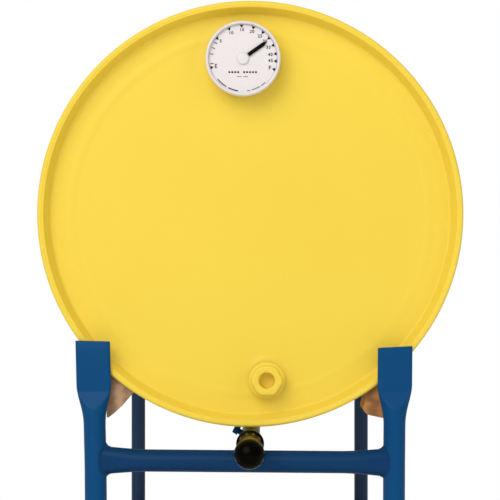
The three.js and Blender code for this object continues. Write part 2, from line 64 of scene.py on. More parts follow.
class Nodes:
    """A small helper that adds shader nodes and links them."""

    def __init__(self, name):
        self.material = bpy.data.materials.new(name)
        self.material.use_nodes = True
        self.tree = self.material.node_tree
        self.surface = self.tree.nodes["Principled BSDF"]
        self.place = self.add("ShaderNodeTexCoord").outputs["Object"]

    def feed(self, node, key, value):
        if isinstance(value, bpy.types.NodeSocket):
            self.tree.links.new(value, node.inputs[key])
        else:
            node.inputs[key].default_value = value

    def add(self, kind, **inputs):
        node = self.tree.nodes.new(kind)
        for name, value in inputs.items():
            self.feed(node, name.replace("_", " "), value)
        return node

    def stretched(self, scale):
        return self.add("ShaderNodeMapping", Vector=self.place, Scale=scale).outputs["Vector"]

    def noise(self, scale, detail=3.0, vector=None):
        return self.add("ShaderNodeTexNoise", Vector=vector or self.place, Scale=scale, Detail=detail,
                        Roughness=0.55).outputs["Fac"]

    def ramp(self, value, low, high):
        node = self.add("ShaderNodeValToRGB", Fac=value)
        first, last = node.color_ramp.elements
        first.position = low
        last.position = high
        return node.outputs["Color"]

    def mix(self, amount, one, two):
        node = self.tree.nodes.new("ShaderNodeMix")
        node.data_type = "RGBA"
        for key, value in ((0, amount), (6, one), (7, two)):
            self.feed(node, key, value)
        return node.outputs[2]

    def blend(self, amount, one, two):
        """A mix of two shaders."""
        node = self.add("ShaderNodeMixShader", Fac=amount)
        self.feed(node, 1, one)
        self.feed(node, 2, two)
        return node.outputs[0]

    def spread(self, value, low, high):
        return self.add("ShaderNodeMapRange", Value=value, To_Min=low, To_Max=high).outputs["Result"]

    def bump(self, height, strength, distance, **below):
        return self.add("ShaderNodeBump", Height=height, Strength=strength, Distance=distance,
                        **below).outputs["Normal"]

    def edges(self, low, high):
        """Where the surface bends outwards sharply, from 0 to 1."""
        return self.ramp(self.add("ShaderNodeNewGeometry").outputs["Pointiness"], low, high)

    def finish(self, **inputs):
        for name, value in inputs.items():
            self.feed(self.surface, name.replace("_", " "), value)
        return self.material


def rgba(colour, share=1.0):
    return (*[part * share for part in colour], 1.0)


def enamel(name, light, dark, worn, roughness, speckle, shine):
    """Sprayed paint: cloudy colour, orange peel, fine specks and rubbed edges."""
    n = Nodes(name)
    clouds = n.mix(n.spread(n.noise(3.5), 0, 1), rgba(dark), rgba(light))
    specks = n.ramp(n.noise(420, 2), 0.70, 0.74)
    spotted = n.mix(n.spread(specks, 0, speckle), clouds, rgba(worn))
    rubbed = n.mix(n.edges(0.56, 0.66), spotted, rgba(light))
    peel = n.bump(n.noise(260, 2), 0.10, 0.0004)
    waves = n.bump(n.noise(9, 2), 0.06, 0.004, Normal=peel)
    gloss = n.spread(n.noise(14, 4), roughness - 0.06, roughness + 0.08)
    return n.finish(Base_Color=rubbed, Roughness=gloss, Normal=waves, Specular_IOR_Level=shine)


def plated(name, colour, roughness):
    """Zinc plate or bare steel: a spangled sheen with brushed streaks and dull spots."""
    n = Nodes(name)
    tint = n.mix(n.spread(n.noise(70, 4), 0.75, 1.1), rgba(colour, 0.72), rgba(colour))
    streaks = n.noise(60, 3, vector=n.stretched((1, 6, 1)))
    dull = n.spread(n.noise(22, 5), roughness - 0.08, roughness + 0.14)
    return n.finish(Base_Color=tint, Roughness=dull, Metallic=0.9, Normal=n.bump(streaks, 0.12, 0.0003))


def moulded(name, colour, roughness, grain, variation=0.12, shine=0.4, sheen=(1, 1, 1)):
    """Moulded plastic: near-even colour, fine grain and slightly patchy gloss."""
    n = Nodes(name)
    tint = n.mix(n.spread(n.noise(30, 3), 0, 1), rgba(colour, 1 - variation), rgba(colour))
    patchy = n.spread(n.noise(45, 3), roughness * 0.8, roughness * 1.3)
    return n.finish(Base_Color=tint, Roughness=patchy, Specular_IOR_Level=shine,
                    Specular_Tint=rgba(sheen), Normal=n.bump(n.noise(grain, 2), 0.08, 0.0002))


def rubber(name, colour):
    """Black rubber with dust in its pores."""
    n = Nodes(name)
    dust = n.ramp(n.noise(34, 6), 0.5, 0.78)
    tint = n.mix(n.spread(dust, 0, 0.25), rgba(colour), rgba((0.16, 0.15, 0.14)))
    return n.finish(Base_Color=tint, Roughness=n.spread(n.noise(60, 3), 0.6, 0.85),
                    Normal=n.bump(n.noise(350, 3), 0.25, 0.0004))


def hardwood(name, pale, brown, wash):
    """Sawn wood with long grain, darker lines and a paler wash."""
    n = Nodes(name)
    long_way = n.stretched((6, 1.2, 22))
    rings = n.add("ShaderNodeTexWave", Vector=long_way, Scale=2.2, Distortion=5.0, Detail=3.0)
    fibres = n.noise(14, 5, vector=n.stretched((12, 1.5, 60)))
    base = n.mix(n.ramp(rings.outputs["Fac"], 0.15, 0.95), rgba(brown), rgba(pale))
    washed = n.mix(n.spread(n.noise(3, 3, vector=long_way), 0.0, 0.45), base, rgba(wash))
    lined = n.mix(n.ramp(fibres, 0.62, 0.8), washed, rgba(brown, 0.8))
    return n.finish(Base_Color=lined, Roughness=n.spread(fibres, 0.45, 0.72),
                    Normal=n.bump(fibres, 0.3, 0.0006))


def clear_lens(name):
    """A thin clear window that shines at its grazing edge and is clear from behind."""
    n = Nodes(name)
    n.tree.nodes.remove(n.surface)
    see_through = n.add("ShaderNodeBsdfTransparent").outputs[0]
    scuffs = n.bump(n.noise(180, 4), 0.03, 0.0002)
    shine = n.add("ShaderNodeBsdfGlossy", Roughness=0.05, Normal=scuffs).outputs[0]
    front = n.blend(n.add("ShaderNodeFresnel", IOR=1.12).outputs["Fac"], see_through, shine)
    backfacing = n.add("ShaderNodeNewGeometry").outputs["Backfacing"]
    n.feed(n.tree.nodes["Material Output"], "Surface", n.blend(backfacing, front, see_through))
    return n.material


FINISHES = {
    "frame_blue": (enamel, (0.003, 0.066, 0.190), (0.002, 0.050, 0.150), (0.02, 0.10, 0.24),
                   0.34, 0.5, 0.08),
    # The cross tube's blue is the frame paint darkened: painted shade for the tube under the drum.
    "tie_blue": (enamel, (0.003, 0.042, 0.124), (0.002, 0.030, 0.100), (0.02, 0.08, 0.20), 0.34, 0.5, 0.09),
    # The side rails' blue is the frame paint darkened and greyed: painted shade for the rails under the
    # drum.
    "rail_blue": (enamel, (0.014, 0.040, 0.098), (0.010, 0.028, 0.070), (0.03, 0.06, 0.12),
                  0.34, 0.5, 0.16),
    "drum_yellow": (enamel, (0.835, 0.610, 0.062), (0.800, 0.575, 0.054), (0.60, 0.38, 0.03),
                    0.38, 0.25, 0.20),
    "zinc_steel": (plated, (0.62, 0.63, 0.64), 0.34),
    # The black grip's amber specular tint is a painted reflection: it warms every reflection on the grip
    # towards the drum's amber.
    "grip_black": (moulded, (0.001, 0.001, 0.001), 0.22, 300, 0.12, 0.045, (1.0, 0.72, 0.42)),
    "wheel_core": (moulded, (0.17, 0.18, 0.19), 0.5, 500),
    "tyre_rubber": (rubber, (0.02, 0.02, 0.021)),
    "hardwood": (hardwood, (0.50, 0.30, 0.165), (0.26, 0.13, 0.06), (0.54, 0.35, 0.21)),
    # The right block's golden wood is the hardwood darkened and warmed: painted shade with a painted amber
    # reflection of the drum.
    "gold_wood": (hardwood, (0.50, 0.21, 0.040), (0.20, 0.075, 0.016), (0.46, 0.19, 0.04)),
    "gauge_white": (moulded, (0.735, 0.69, 0.695), 0.35, 400, 0.03),
    "gauge_lens": (clear_lens,),
    "needle_black": (moulded, (0.002, 0.002, 0.002), 0.4, 500, 0.12, 0.05),
    "seal_rubber": (rubber, (0.02, 0.02, 0.02)),
    "ink": (moulded, (0.004, 0.003, 0.003), 0.5, 500, 0.12, 0.1),
}
MATERIALS = {name: make(name, *values) for name, (make, *values) in FINISHES.items()}


# ---- mesh code

def span(node):
    """A CAD node's lowest and highest corner, in millimetres."""
    low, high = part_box(node)
    return low / MM, high / MM


def centre(node):
    low, high = span(node)
    return (low + high) / 2


def around(count, shift=0.0):
    """Evenly spaced angles of a full turn, each with its cosine and its sine."""
    for i in range(count):
        angle = FULL_TURN * (i + shift) / count
        yield angle, math.cos(angle), math.sin(angle)


def moved(piece, x, y, z):
    piece.data.transform(Matrix.Translation(Vector((x, y, z)) * MM))


def new_object(name, data):
    piece = bpy.data.objects.new(name, data)
    bpy.context.scene.collection.objects.link(piece)
    return piece


def shade(mesh, sharp=SMOOTH_BELOW):
    mesh.shade_smooth()
    mesh.set_sharp_from_angle(angle=sharp)


def make_object(name, points, faces, sharp):
    mesh = bpy.data.meshes.new(name)
    mesh.from_pydata([Vector(point) * MM for point in points], [], faces)
    clean = bmesh.new()
    clean.from_mesh(mesh)
    bmesh.ops.remove_doubles(clean, verts=clean.verts, dist=1e-6)
    bmesh.ops.recalc_face_normals(clean, faces=clean.faces)
    clean.to_mesh(mesh)
    clean.free()
    shade(mesh, sharp)
    return new_object(name, mesh)


def loft(name, rings, closed=False, caps=True, sharp=SMOOTH_BELOW):
    """Skins a row of rings, each with the same number of points."""
    count = len(rings[0])
    points = [point for row in rings for point in row]
    faces = []
    rows = len(rings)
    for row in range(rows if closed else rows - 1):
        here = row * count
        there = ((row + 1) % rows) * count
        for i in range(count):
            j = (i + 1) % count
            faces.append((here + i, here + j, there + j, there + i))
    if caps and not closed:
        faces.append(tuple(range(count)))
        faces.append(tuple(range((rows - 1) * count, rows * count)))
    return make_object(name, points, faces, sharp)


def softened(outline, closed=False, steps=5):
    """Rounds an outline's corners. Each corner is (across, along) or (across, along, radius)."""
    result = []
    total = len(outline)
    for i, corner in enumerate(outline):
        here = Vector(corner[:2])
        radius = corner[2] if len(corner) > 2 else 0
        at_end = not closed and i in (0, total - 1)
        if radius == 0 or at_end:
            result.append(tuple(here))
            continue
        before = Vector(outline[i - 1][:2]) - here
        after = Vector(outline[(i + 1) % total][:2]) - here
        reach = min(radius, before.length * 0.48, after.length * 0.48)
        start = here + before.normalized() * reach
        stop = here + after.normalized() * reach
        for step in range(steps + 1):
            t = step / steps
            result.append(tuple(start * (1 - t) ** 2 + here * 2 * t * (1 - t) + stop * t ** 2))
    return result


def turned(name, outline, middle, axis="Y", closed=False, segments=96):
    """Turns an outline of (radius, along) round an axis through a middle point."""
    rings = [[on_axis(radius * c, radius * s, along, middle, axis) for _, c, s in around(segments)]
             for radius, along in softened(outline, closed)]
    return loft(name, rings, closed, caps=False)


def on_axis(a, b, along, middle, axis):
    if axis == "X":
        return (along, middle[1] + a, middle[2] + b)
    if axis == "Y":
        return (middle[0] + a, along, middle[2] + b)
    return (middle[0] + a, middle[1] + b, along)


def rod(name, radius, low, high, middle, axis="Y", edges=(0, 0), segments=96):
    """A turned bar. edges are the roundings of its low and its high end."""
    outline = [(0, low), (radius, low, edges[0]), (radius, high, edges[1]), (0, high)]
    return turned(name, outline, middle, axis, segments=segments)


def pipe(name, inner, outer, low, high, middle, axis="Y", edges=(0.5, 0.8), segments=96):
    """A turned tube. edges are the roundings of its bore and its outside."""
    bore, rim = edges
    outline = [(inner, low, bore), (outer, low, rim), (outer, high, rim), (inner, high, bore)]
    return turned(name, outline, middle, axis, closed=True, segments=segments)


def mirrored(half, middle, crest=()):
    """An outline from its first half, whose places are distances from the middle."""
    near = [(radius, middle - away, *corner) for radius, away, *corner in half]
    far = [(radius, middle + away, *corner) for radius, away, *corner in reversed(half)]
    return near + list(crest) + far


def pressed_ring(width, depth, place, count=48):
    """The outline of a tube pressed towards flat: two half rounds joined by straight sides."""
    radius = depth / 2
    reach = max((width - depth) / 2, 0)
    return [place(math.copysign(reach, c) + radius * c, radius * s) for _, c, s in around(count, 0.5)]


def faceted_ring(width, depth, press, place, count=96):
    """The outline of an oval tube whose front and back are pressed in to flats."""
    return [place(width / 2 * c, min(max(depth / 2 * s, -press / 2), press / 2))
            for _, c, s in around(count, 0.5)]


def swept(name, path, radius, sides=32, closed=False):
    """A round bar along a path. radius is a number or a function of the place along it."""
    rings = []
    total = len(path)
    side = None
    for i, point in enumerate(path):
        ahead = path[(i + 1) % total] if closed or i < total - 1 else point
        behind = path[i - 1] if closed or i > 0 else point
        along = (Vector(ahead) - Vector(behind)).normalized()
        if side is None:
            side = along.cross(Vector((0, 0, 1)))
            side = along.cross(Vector((1, 0, 0))) if side.length < 0.2 else side
        side = (side - along * side.dot(along)).normalized()
        lift = side.cross(along).normalized()
        size = radius(i) if callable(radius) else radius
        rings.append([Vector(point) + side * size * c + lift * size * s for _, c, s in around(sides)])
    return loft(name, rings, closed)


def plate(name, outline, low, high, axis="X", bevel=0.6):
    """A flat plate of an outline, from low to high along an axis, with its edges broken."""
    place = {"X": lambda u, v, t: (t, u, v), "Y": lambda u, v, t: (u, t, v),
             "Z": lambda u, v, t: (u, v, t)}[axis]
    corners = softened(outline, closed=True)
    piece = loft(name, [[place(u, v, t) for u, v in corners] for t in (low, high)])
    return broken_edges(piece, bevel) if bevel else piece


def broken_edges(piece, width):
    modifier = piece.modifiers.new("edges", "BEVEL")
    modifier.width = width * MM
    modifier.segments = 3
    modifier.limit_method = "ANGLE"
    modifier.angle_limit = math.radians(40)
    modifier.harden_normals = True
    return piece


def block(name, low, high, bevel=0.6, corner=0):
    outline = [(low[0], low[1], corner), (high[0], low[1], corner), (high[0], high[1], corner),
               (low[0], high[1], corner)]
    return plate(name, outline, low[2], high[2], "Z", bevel)


def joined(name, pieces):
    """One object from several."""
    merged = bmesh.new()
    depsgraph = bpy.context.evaluated_depsgraph_get()
    for piece in pieces:
        shape = piece.evaluated_get(depsgraph)
        merged.from_mesh(shape.to_mesh())
        shape.to_mesh_clear()
    mesh = bpy.data.meshes.new(name)
    merged.to_mesh(mesh)
    merged.free()
    for piece in pieces:
        bpy.data.objects.remove(piece)
    shade(mesh)
    return new_object(name, mesh)


def cut_by(piece, cutters):
    """Cuts solid shapes out of a piece and removes them."""
    for cutter in cutters:
        modifier = piece.modifiers.new("cut", "BOOLEAN")
        modifier.operation = "DIFFERENCE"
        modifier.solver = "EXACT"
        modifier.object = cutter
    depsgraph = bpy.context.evaluated_depsgraph_get()
    mesh = bpy.data.meshes.new_from_object(piece.evaluated_get(depsgraph))
    piece.modifiers.clear()
    piece.data = mesh
    shade(mesh)
    for cutter in cutters:
        bpy.data.objects.remove(cutter)
    return piece


def dress(piece, node, finish=None):
    """The piece rides with a CAD node and takes the node's finish or another."""
    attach(piece, BODY_OF[node])
    piece.data.materials.clear()
    piece.data.materials.append(MATERIALS[finish or SLOT_OF[node]])


def fit(piece, node, finish=None):
    """The piece stands for a CAD node."""
    dress(piece, node, finish)
    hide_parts(node)


# ---- the drum

DRUM_LOW, DRUM_HIGH = span("drum_shell")
DRUM_MIDDLE = (DRUM_LOW + DRUM_HIGH) / 2
HOOP_R = (DRUM_HIGH.x - DRUM_LOW.x) / 2
BODY_R = HOOP_R - 12.5
CHIME_R = HOOP_R - 6
CHIME_DEPTH = 11
SHEET = 1.2
HEAD_FLAT = span("drum_front_head")[1].y - SHEET
GAUGE = centre("gauge_case")
PLUG = centre("bung_plug")
DRUM_SEGMENTS = 240


def drum_shell():
    front, rear = DRUM_LOW.y, DRUM_HIGH.y
    length = rear - front
    hoops = [front + length * part for part in (290 / 880, 590 / 880)]
    half = 14
    chime = [
        (BODY_R - SHEET - 0.2, front + 3.5), (BODY_R - 0.2, front + 0.4, 2.5), (CHIME_R - 2.2, front, 1.6),
        (CHIME_R, front + 2.6, 2.2), (CHIME_R, front + CHIME_DEPTH - 2, 2.5),
        (BODY_R + 0.4, front + CHIME_DEPTH + 0.6, 2.4), (BODY_R, front + CHIME_DEPTH + 6)]
    outside = softened(chime)
    for hoop in hoops:
        for step in range(-8, 9):
            rise = math.cos(math.pi / 2 * step / 8) ** 2
            outside.append((BODY_R + (HOOP_R - BODY_R) * rise, hoop + half * step / 8))
    outside += [(radius, front + rear - along) for radius, along in reversed(softened(chime))]
    inside = [(radius - SHEET, along) for radius, along in reversed(outside) if radius <= BODY_R + 0.3
              and front + CHIME_DEPTH + 3 < along < rear - CHIME_DEPTH - 3]
    shell = turned("drum_body", outside + inside, DRUM_MIDDLE, closed=True, segments=DRUM_SEGMENTS)
    fit(shell, "drum_shell")


def embossing(x, z):
    """How far the head stands forward round each bung."""
    rise = 0
    for place, radius in ((GAUGE, 62), (PLUG, 36)):
        away = math.hypot(x - place.x, z - place.z)
        step = min(max((radius - away) / 9, 0), 1)
        rise = max(rise, 2.4 * step * step * (3 - 2 * step))
    return rise


def head_panel(name, flat, forward):
    """A drum head: a flat panel with a shallow ring, a sloped wall and a seam under the chime.

    forward is -1 where the outside faces -Y and 1 where it faces +Y.
    """
    edge = BODY_R - SHEET - 0.3
    panel_edge = edge - 8
    bead_radius = 248
    rim = DRUM_LOW.y + 0.8 if forward < 0 else DRUM_HIGH.y - 0.8
    inner_steps = 60
    profile = [((panel_edge - 6) * step / inner_steps, flat) for step in range(1, inner_steps)]
    profile += softened([
        (panel_edge - 6, flat), (panel_edge, flat, 6), (edge - 0.8, rim, 1.6), (edge + 2.2, rim)])
    profile += [(radius, along - forward * SHEET) for radius, along in reversed(profile)]
    rings = []
    for radius, along in profile:
        bead = 0.9 * math.exp(-((radius - bead_radius) / 3.5) ** 2)
        fade = min(max((panel_edge - 10 - radius) / 30, 0), 1)
        ring = []
        for _, c, s in around(DRUM_SEGMENTS):
            x = DRUM_MIDDLE.x + radius * c
            z = DRUM_MIDDLE.z + radius * s
            dent = 0.5 * noise.noise(Vector((x * 0.006, forward, z * 0.006)))
            boss = embossing(x, z) if forward < 0 else 0
            ring.append((x, along + forward * (bead + fade * dent + boss), z))
        rings.append(ring)
    return loft(name, rings, sharp=math.radians(50))


def drum_heads():
    front = head_panel("front_head", HEAD_FLAT, -1)
    cut_by(front, [rod("bore", radius, -500, 0, place, segments=72) for place, radius in
                   ((GAUGE, 36.3), (PLUG, 19.3))])
    fit(front, "drum_front_head")
    fit(head_panel("rear_head", span("drum_rear_head")[0].y + SHEET, 1), "drum_rear_head")


def bung_flange(node, bore, skirt):
    low, high = span(node)
    collar = (high.x - low.x) / 2
    wall = [(bore, low.y, 0.8), (skirt, low.y, 1.2), (skirt, HEAD_FLAT + 1.6),
            (collar, HEAD_FLAT + 1.6, 1), (collar, HEAD_FLAT + 6, 1.5), (skirt, HEAD_FLAT + 9),
            (skirt, high.y, 0.8), (bore, high.y, 0.8)]
    turns = 5
    pitch = (high.y - low.y - 6) / turns
    for turn in range(turns, 0, -1):
        along = low.y + 3 + pitch * turn
        wall += [(bore, along), (bore + 0.8, along - pitch / 2)]
    fit(turned(node + "_ring", wall, centre(node), closed=True), node)


def gasket(node, inner):
    low, high = span(node)
    fit(pipe(node + "_ring", inner, (high.x - low.x) / 2, low.y, high.y, centre(node)), node)


# ---- the plug

def bung_plug():
    """A round flange with a hexagonal boss whose corners are turned off, and a deep round socket."""
    low, high = span("bung_plug")
    half_flats = 20
    turned_corner = 21.3
    sides = 6

    def ring(along, size=None, inset=0):
        """A round ring of a size, or else a hexagonal one."""
        points = []
        for angle, c, s in around(144):
            part = angle % (FULL_TURN / sides) - math.pi / sides
            radius = size or min(half_flats / math.cos(part), turned_corner) - inset
            points.append((PLUG.x + radius * c, low.y + along, PLUG.z + radius * s))
        return points

    length = high.y - low.y
    socket = [(2, 17), (6, 16.8), (9, 15.6), (10.3, 13), (10.6, 9), (10.6, 2.6), (10.9, 1.6), (11.5, 0.8),
              (12.4, 0.2), (13.4, 0)]
    boss = [(2.4, 0), (1.2, 0.3), (0.4, 0.9), (0, 1.9), (0, 7.2), (-0.7, 8.2), (-2, 8.7)]
    flange = [(23.6, 8.9), (24.5, 9.3), (25, 10.2), (25, 13), (24.4, 13.7), (13, 13.7)]
    thread = [(size, 17 + 3 * turn + more) for turn in range(8) for size, more in ((13, 0), (12.1, 1.5))]
    rings = [ring(along, size) for size, along in socket]
    rings += [ring(along, inset=inset) for inset, along in boss]
    rings += [ring(along, size) for size, along in flange + thread + [(13, length - 1.5), (12, length)]]
    fit(loft("plug", rings), "bung_plug")


# ---- the level gauge

GAUGE_LOW, GAUGE_HIGH = span("gauge_case")
GAUGE_R = (GAUGE_HIGH.x - GAUGE_LOW.x) / 2
RIM_WIDTH = 4.5
DIAL_FACE = span("gauge_dial")[0].y
DIAL_ANGLES = {"E": 195.6, "5": 142.0, "10": 115.1, "15": 92.5, "20": 71.8, "25": 53.0, "30": 38.4,
               "35": 23.8, "40": 8.3, "45": -4.4, "F": -19.2}
TICK_ANGLES = (189.2, 171.7, 160.4, 150.3)
# Dashes along the dial's lower edge: first and last angle, and thickness.
EDGE_DASHES = ((219, 239, 1.4), (243, 261, 1.5), (277, 282, 1.0), (286, 301, 1.0), (304, 313, 1.0))
# Rows of dashes below the middle: first and last place, drop, width, height and gap.
LINE_DASHES = ((-20, -5.4, 18.5, 2.6, 2.4, 1.4), (0.2, 20, 18.5, 2.6, 2.4, 1.4),
               (-8, -2.6, 24.5, 1.3, 1.2, 0.8), (0.6, 8, 24.5, 1.3, 1.2, 0.8))


def gauge_case():
    face = GAUGE_LOW.y
    back = face + 15
    inner = GAUGE_R - RIM_WIDTH
    seat = span("gauge_gasket")[0].y
    outline = [
        (3.2, DIAL_FACE + 1.6), (inner, DIAL_FACE + 1.6), (inner, face + 2.2, 1.2),
        (inner + 1.6, face, 1.4), (GAUGE_R - 1.6, face, 1.8), (GAUGE_R, face + 2.4, 1.8),
        (GAUGE_R, back - 3, 2), (GAUGE_R - 3, back, 2), (34, back, 1), (33, seat - 0.3, 0.8),
        (29, seat - 0.3)]
    turns = 12
    pitch = (GAUGE_HIGH.y - seat - 6) / turns
    for turn in range(turns):
        along = seat + 4 + pitch * turn
        outline += [(29, along), (27.9, along + pitch / 2)]
    outline += [(28.5, GAUGE_HIGH.y, 1), (3.2, GAUGE_HIGH.y)]
    fit(turned("gauge_housing", outline, GAUGE, closed=True, segments=128), "gauge_case")


def dial_spot(angle, radius, depth=0.0):
    turn = math.radians(angle)
    return Vector((GAUGE.x + radius * math.cos(turn), DIAL_FACE - depth, GAUGE.z + radius * math.sin(turn)))


def ink_shape(corners):
    """A printed mark: a thin raised patch on the dial."""
    return loft("mark", [[(x, DIAL_FACE - rise, z) for x, z in corners] for rise in (-0.05, 0.12)])


def spoke(angle, spots):
    """Corners given as (outwards, sideways) from the dial's middle."""
    turn = math.radians(angle)
    out = Vector((math.cos(turn), math.sin(turn)))
    side = Vector((-out.y, out.x))
    middle = Vector((GAUGE.x, GAUGE.z))
    return [tuple(middle + out * far + side * wide) for far, wide in spots]


def figure(text, angle, radius, height):
    """A dial figure as a thin mesh."""
    curve = bpy.data.curves.new("figure", "FONT")
    curve.body = text
    curve.size = height * 1.4 * MM
    curve.align_x = "CENTER"
    curve.align_y = "CENTER"
    curve.extrude = 0.06 * MM
    curve.offset = 0.16 * MM
    curve.space_character = 1.15
    letter = new_object("figure", curve)
    spot = dial_spot(angle, radius, 0.06) * MM
    letter.matrix_world = Matrix.Translation(spot) @ Matrix.Rotation(math.pi / 2, 4, "X")
    bpy.context.view_layer.update()
    mesh = bpy.data.meshes.new_from_object(letter)
    mesh.transform(letter.matrix_world)
    bpy.data.objects.remove(letter)
    return new_object("figure", mesh)


def gauge_dial():
    """The dial's plate, its numbers and marks, and plain dashes where lettering would be."""
    low, high = span("gauge_dial")
    rim = (high.x - low.x) / 2
    fit(pipe("dial_plate", 3.2, rim, low.y, high.y, GAUGE, edges=(0, 0), segments=128), "gauge_dial")
    marks = []
    for label, angle in DIAL_ANGLES.items():
        reach = 39.6 - 2.0 * abs(math.cos(math.radians(angle))) * len(label) / 2
        marks.append(ink_shape(spoke(angle, ((41.9, 0), (46.2, 2.6), (46.2, -2.6)))))
        marks.append(figure(label, angle, reach, 5.4 if label in ("E", "F") else 4.2))
    for angle in TICK_ANGLES:
        marks.append(ink_shape(spoke(angle, ((40.8, -0.55), (45.4, -0.55), (45.4, 0.55), (40.8, 0.55)))))
    for start, stop, thick in EDGE_DASHES:
        steps = 8
        half = (stop - start) / steps / 2
        for i in range(steps):
            middle = start + (stop - start) * (i + 0.5) / steps
            spots = [dial_spot(middle + turn * half, 43.8 + rise * thick) for turn, rise in
                     ((-1, 0), (1, 0), (1, 1), (-1, 1))]
            marks.append(ink_shape([(spot.x, spot.z) for spot in spots]))
    for first, last, drop, wide, tall, gap in LINE_DASHES:
        across = first
        while across + wide <= last + 0.2:
            left = GAUGE.x + across
            line = GAUGE.z - drop
            marks.append(ink_shape([(left, line - tall / 2), (left + wide, line - tall / 2),
                                    (left + wide, line + tall / 2), (left, line + tall / 2)]))
            across += wide + gap
    dress(joined("dial_marks", marks), "gauge_dial", "ink")


def gauge_lens():
    low, high = span("gauge_lens")
    lens = rod("lens", (high.x - low.x) / 2, low.y, high.y, GAUGE, edges=(0.4, 0.4), segments=128)
    fit(lens, "gauge_lens")


def gauge_needle():
    """A black pointer on a white hub, with a shaft and pinion through the stem."""
    low, high = span("gauge_needle")
    corners = spoke(35.3, ((8.6, -2.6), (34, -2.6), (39.5, 0), (34, 2.6), (8.6, 2.6)))
    blade = loft("needle_blade", [[(x, low.y + rise, z) for x, z in corners] for rise in (1.0, 2.2)])
    fit(broken_edges(blade, 0.2), "gauge_needle")
    hub = turned("needle_hub", [(0, low.y), (6, low.y + 0.1, 1), (7.9, low.y + 0.9, 1.2),
                                (8.2, low.y + 3, 0.4), (2.8, low.y + 3)], GAUGE)
    dress(hub, "gauge_needle", "gauge_white")
    shaft = rod("needle_shaft", 2.8, low.y + 3, high.y - 6.2, GAUGE, segments=32)
    dress(shaft, "gauge_needle", "zinc_steel")
    teeth = 12
    rings = []
    for along, size in ((high.y - 6, 1.0), (high.y, 0.85)):
        radii = [size * 6.0, size * 6.0, size * 4.6, size * 4.6] * teeth
        rings.append([on_axis(radius * c, radius * s, along, GAUGE, "Y") for radius, (_, c, s) in
                      zip(radii, around(teeth * 4))])
    dress(loft("needle_pinion", rings), "gauge_needle", "zinc_steel")


# ---- the tubular frame

CROSS_LOW, CROSS_HIGH = span("front_cross_tube")
CROSS = (CROSS_LOW + CROSS_HIGH) / 2
POST_R = 15
WALL = 2.5
PRONG_WIDTH = 47.4
PRONG_THICK = 7.9
NECK_LOW = 402
PRONG_LOW = 458.5
CREASE = 449.5
LEAN_FROM = 330
LEAN_OVER = 155
LEAN = {"left": -3.6, "right": 1.4}
TOP_FALL = {"left": 1.1, "right": -2.6}
CROSS_SLOPE = 0.0084
RAIL_X = {side: centre(f"side_rail_{side}").x for side in SIDES}
# Each wood block's inner edge, its finish and the corners of its lower nose.
CHOCKS = {
    "left": (163.5, "hardwood", [(163.5, -248, 3), (169, -254, 8), (184, -271.5, 12), (195, -280, 4)]),
    # The right block's golden finish is painted shade with a painted amber reflection of the drum.
    "right": (157.7, "gold_wood", [(158.3, -257.5, 6), (154.3, -268.6, 7), (160.5, -276.2, 5),
                                   (181, -280.6, 2)])}


def cross_z(x):
    return CROSS.z - CROSS_SLOPE * (x - CROSS.x)


def front_post(side):
    """A round tube whose top is pressed flat into a prong for the drum's rim."""
    node = f"front_post_{side}"
    low, high = span(node)
    middle_y = centre(node).y
    fall = TOP_FALL[side]

    def at(z):
        out = LEAN[side] * max(0, (z - LEAN_FROM) / LEAN_OVER)

        def spot(u, v):
            part = max(0, (z - PRONG_LOW) / (high.z - PRONG_LOW)) ** 6
            lower = abs(fall) / 2 + fall * u / PRONG_WIDTH
            return (RAIL_X[side] + out + u, middle_y + v, z - 0.1 - lower * part)
        return spot

    round_size = 2 * POST_R
    facet = 25
    rings = [pressed_ring(round_size, round_size, at(z), 96)
             for z in (low.z + 0.6, 230, 290, 350, NECK_LOW - 8)]
    steps = 44
    for step in range(steps + 1):
        level = step / steps
        eased = level ** 1.2
        eased = eased * eased * (3 - 2 * eased)
        width = round_size + (PRONG_WIDTH - round_size) * eased
        depth = round_size * (1 - 0.18 * eased)
        z = NECK_LOW + (PRONG_LOW - NECK_LOW) * level
        pressed = min(max((z - CREASE + facet) / facet, 0), 1)
        press = round_size + (PRONG_THICK - round_size) * pressed
        rings.append(faceted_ring(width, depth, press, at(z)))
    for z in (470, 480, 490, 500, high.z - 1.2):
        rings.append(pressed_ring(PRONG_WIDTH, PRONG_THICK, at(z), 96))
    for inset, drop in ((0.25, 0.6), (0.8, 0.2)):
        rings.append(pressed_ring(PRONG_WIDTH - 2 * inset, PRONG_THICK - 2 * inset, at(high.z - drop), 96))
    fit(loft(f"pressed_post_{side}", rings, sharp=math.radians(24)), node)


def front_cross_tube():
    """Its ends are pressed upright, so that they flare where they meet the posts."""
    reach = CROSS_HIGH.x - CROSS.x - 0.2
    flare_from = 132
    size = 30.4
    rings = []
    stations = 40
    for step in range(-stations, stations + 1):
        away = reach * step / stations
        flare = min(max((abs(away) - flare_from) / (reach - flare_from), 0), 1) ** 1.6
        x = CROSS.x + away
        rings.append(pressed_ring(size + 8.6 * flare, size - 6 * flare,
                                  lambda u, v, x=x: (x, CROSS.y - v, cross_z(x) + u)))
    tube = loft("cross_tube", rings)
    tools = [rod("cope", POST_R + 0.2, -60, 60, (0, 0, 0), "Z", segments=64) for _ in SIDES]
    for tool, side in zip(tools, SIDES):
        tool.matrix_world = Matrix.Translation(Vector((RAIL_X[side], CROSS.y, CROSS.z)) * MM)
    bpy.context.view_layer.update()
    # The tube takes a darker copy of the frame paint: painted shade under the drum.
    fit(cut_by(tube, tools), "front_cross_tube", "tie_blue")


def cross_tube_tool():
    """A cutter as round as the cross tube, to cope what is welded onto it."""
    return rod("cope", 15.2, -40, 60, Vector((0, CROSS.y, cross_z(HANDLE.x))), "X", segments=64)


def weld_bead(name, path, node, size):
    """A painted weld bead with its ripples."""
    def ripple(i):
        return size * (1 + 0.09 * math.sin(i * 1.9) + 0.18 * noise.noise(Vector(path[i]) * 0.35))
    dress(swept(name, path, ripple, sides=12, closed=True), node)


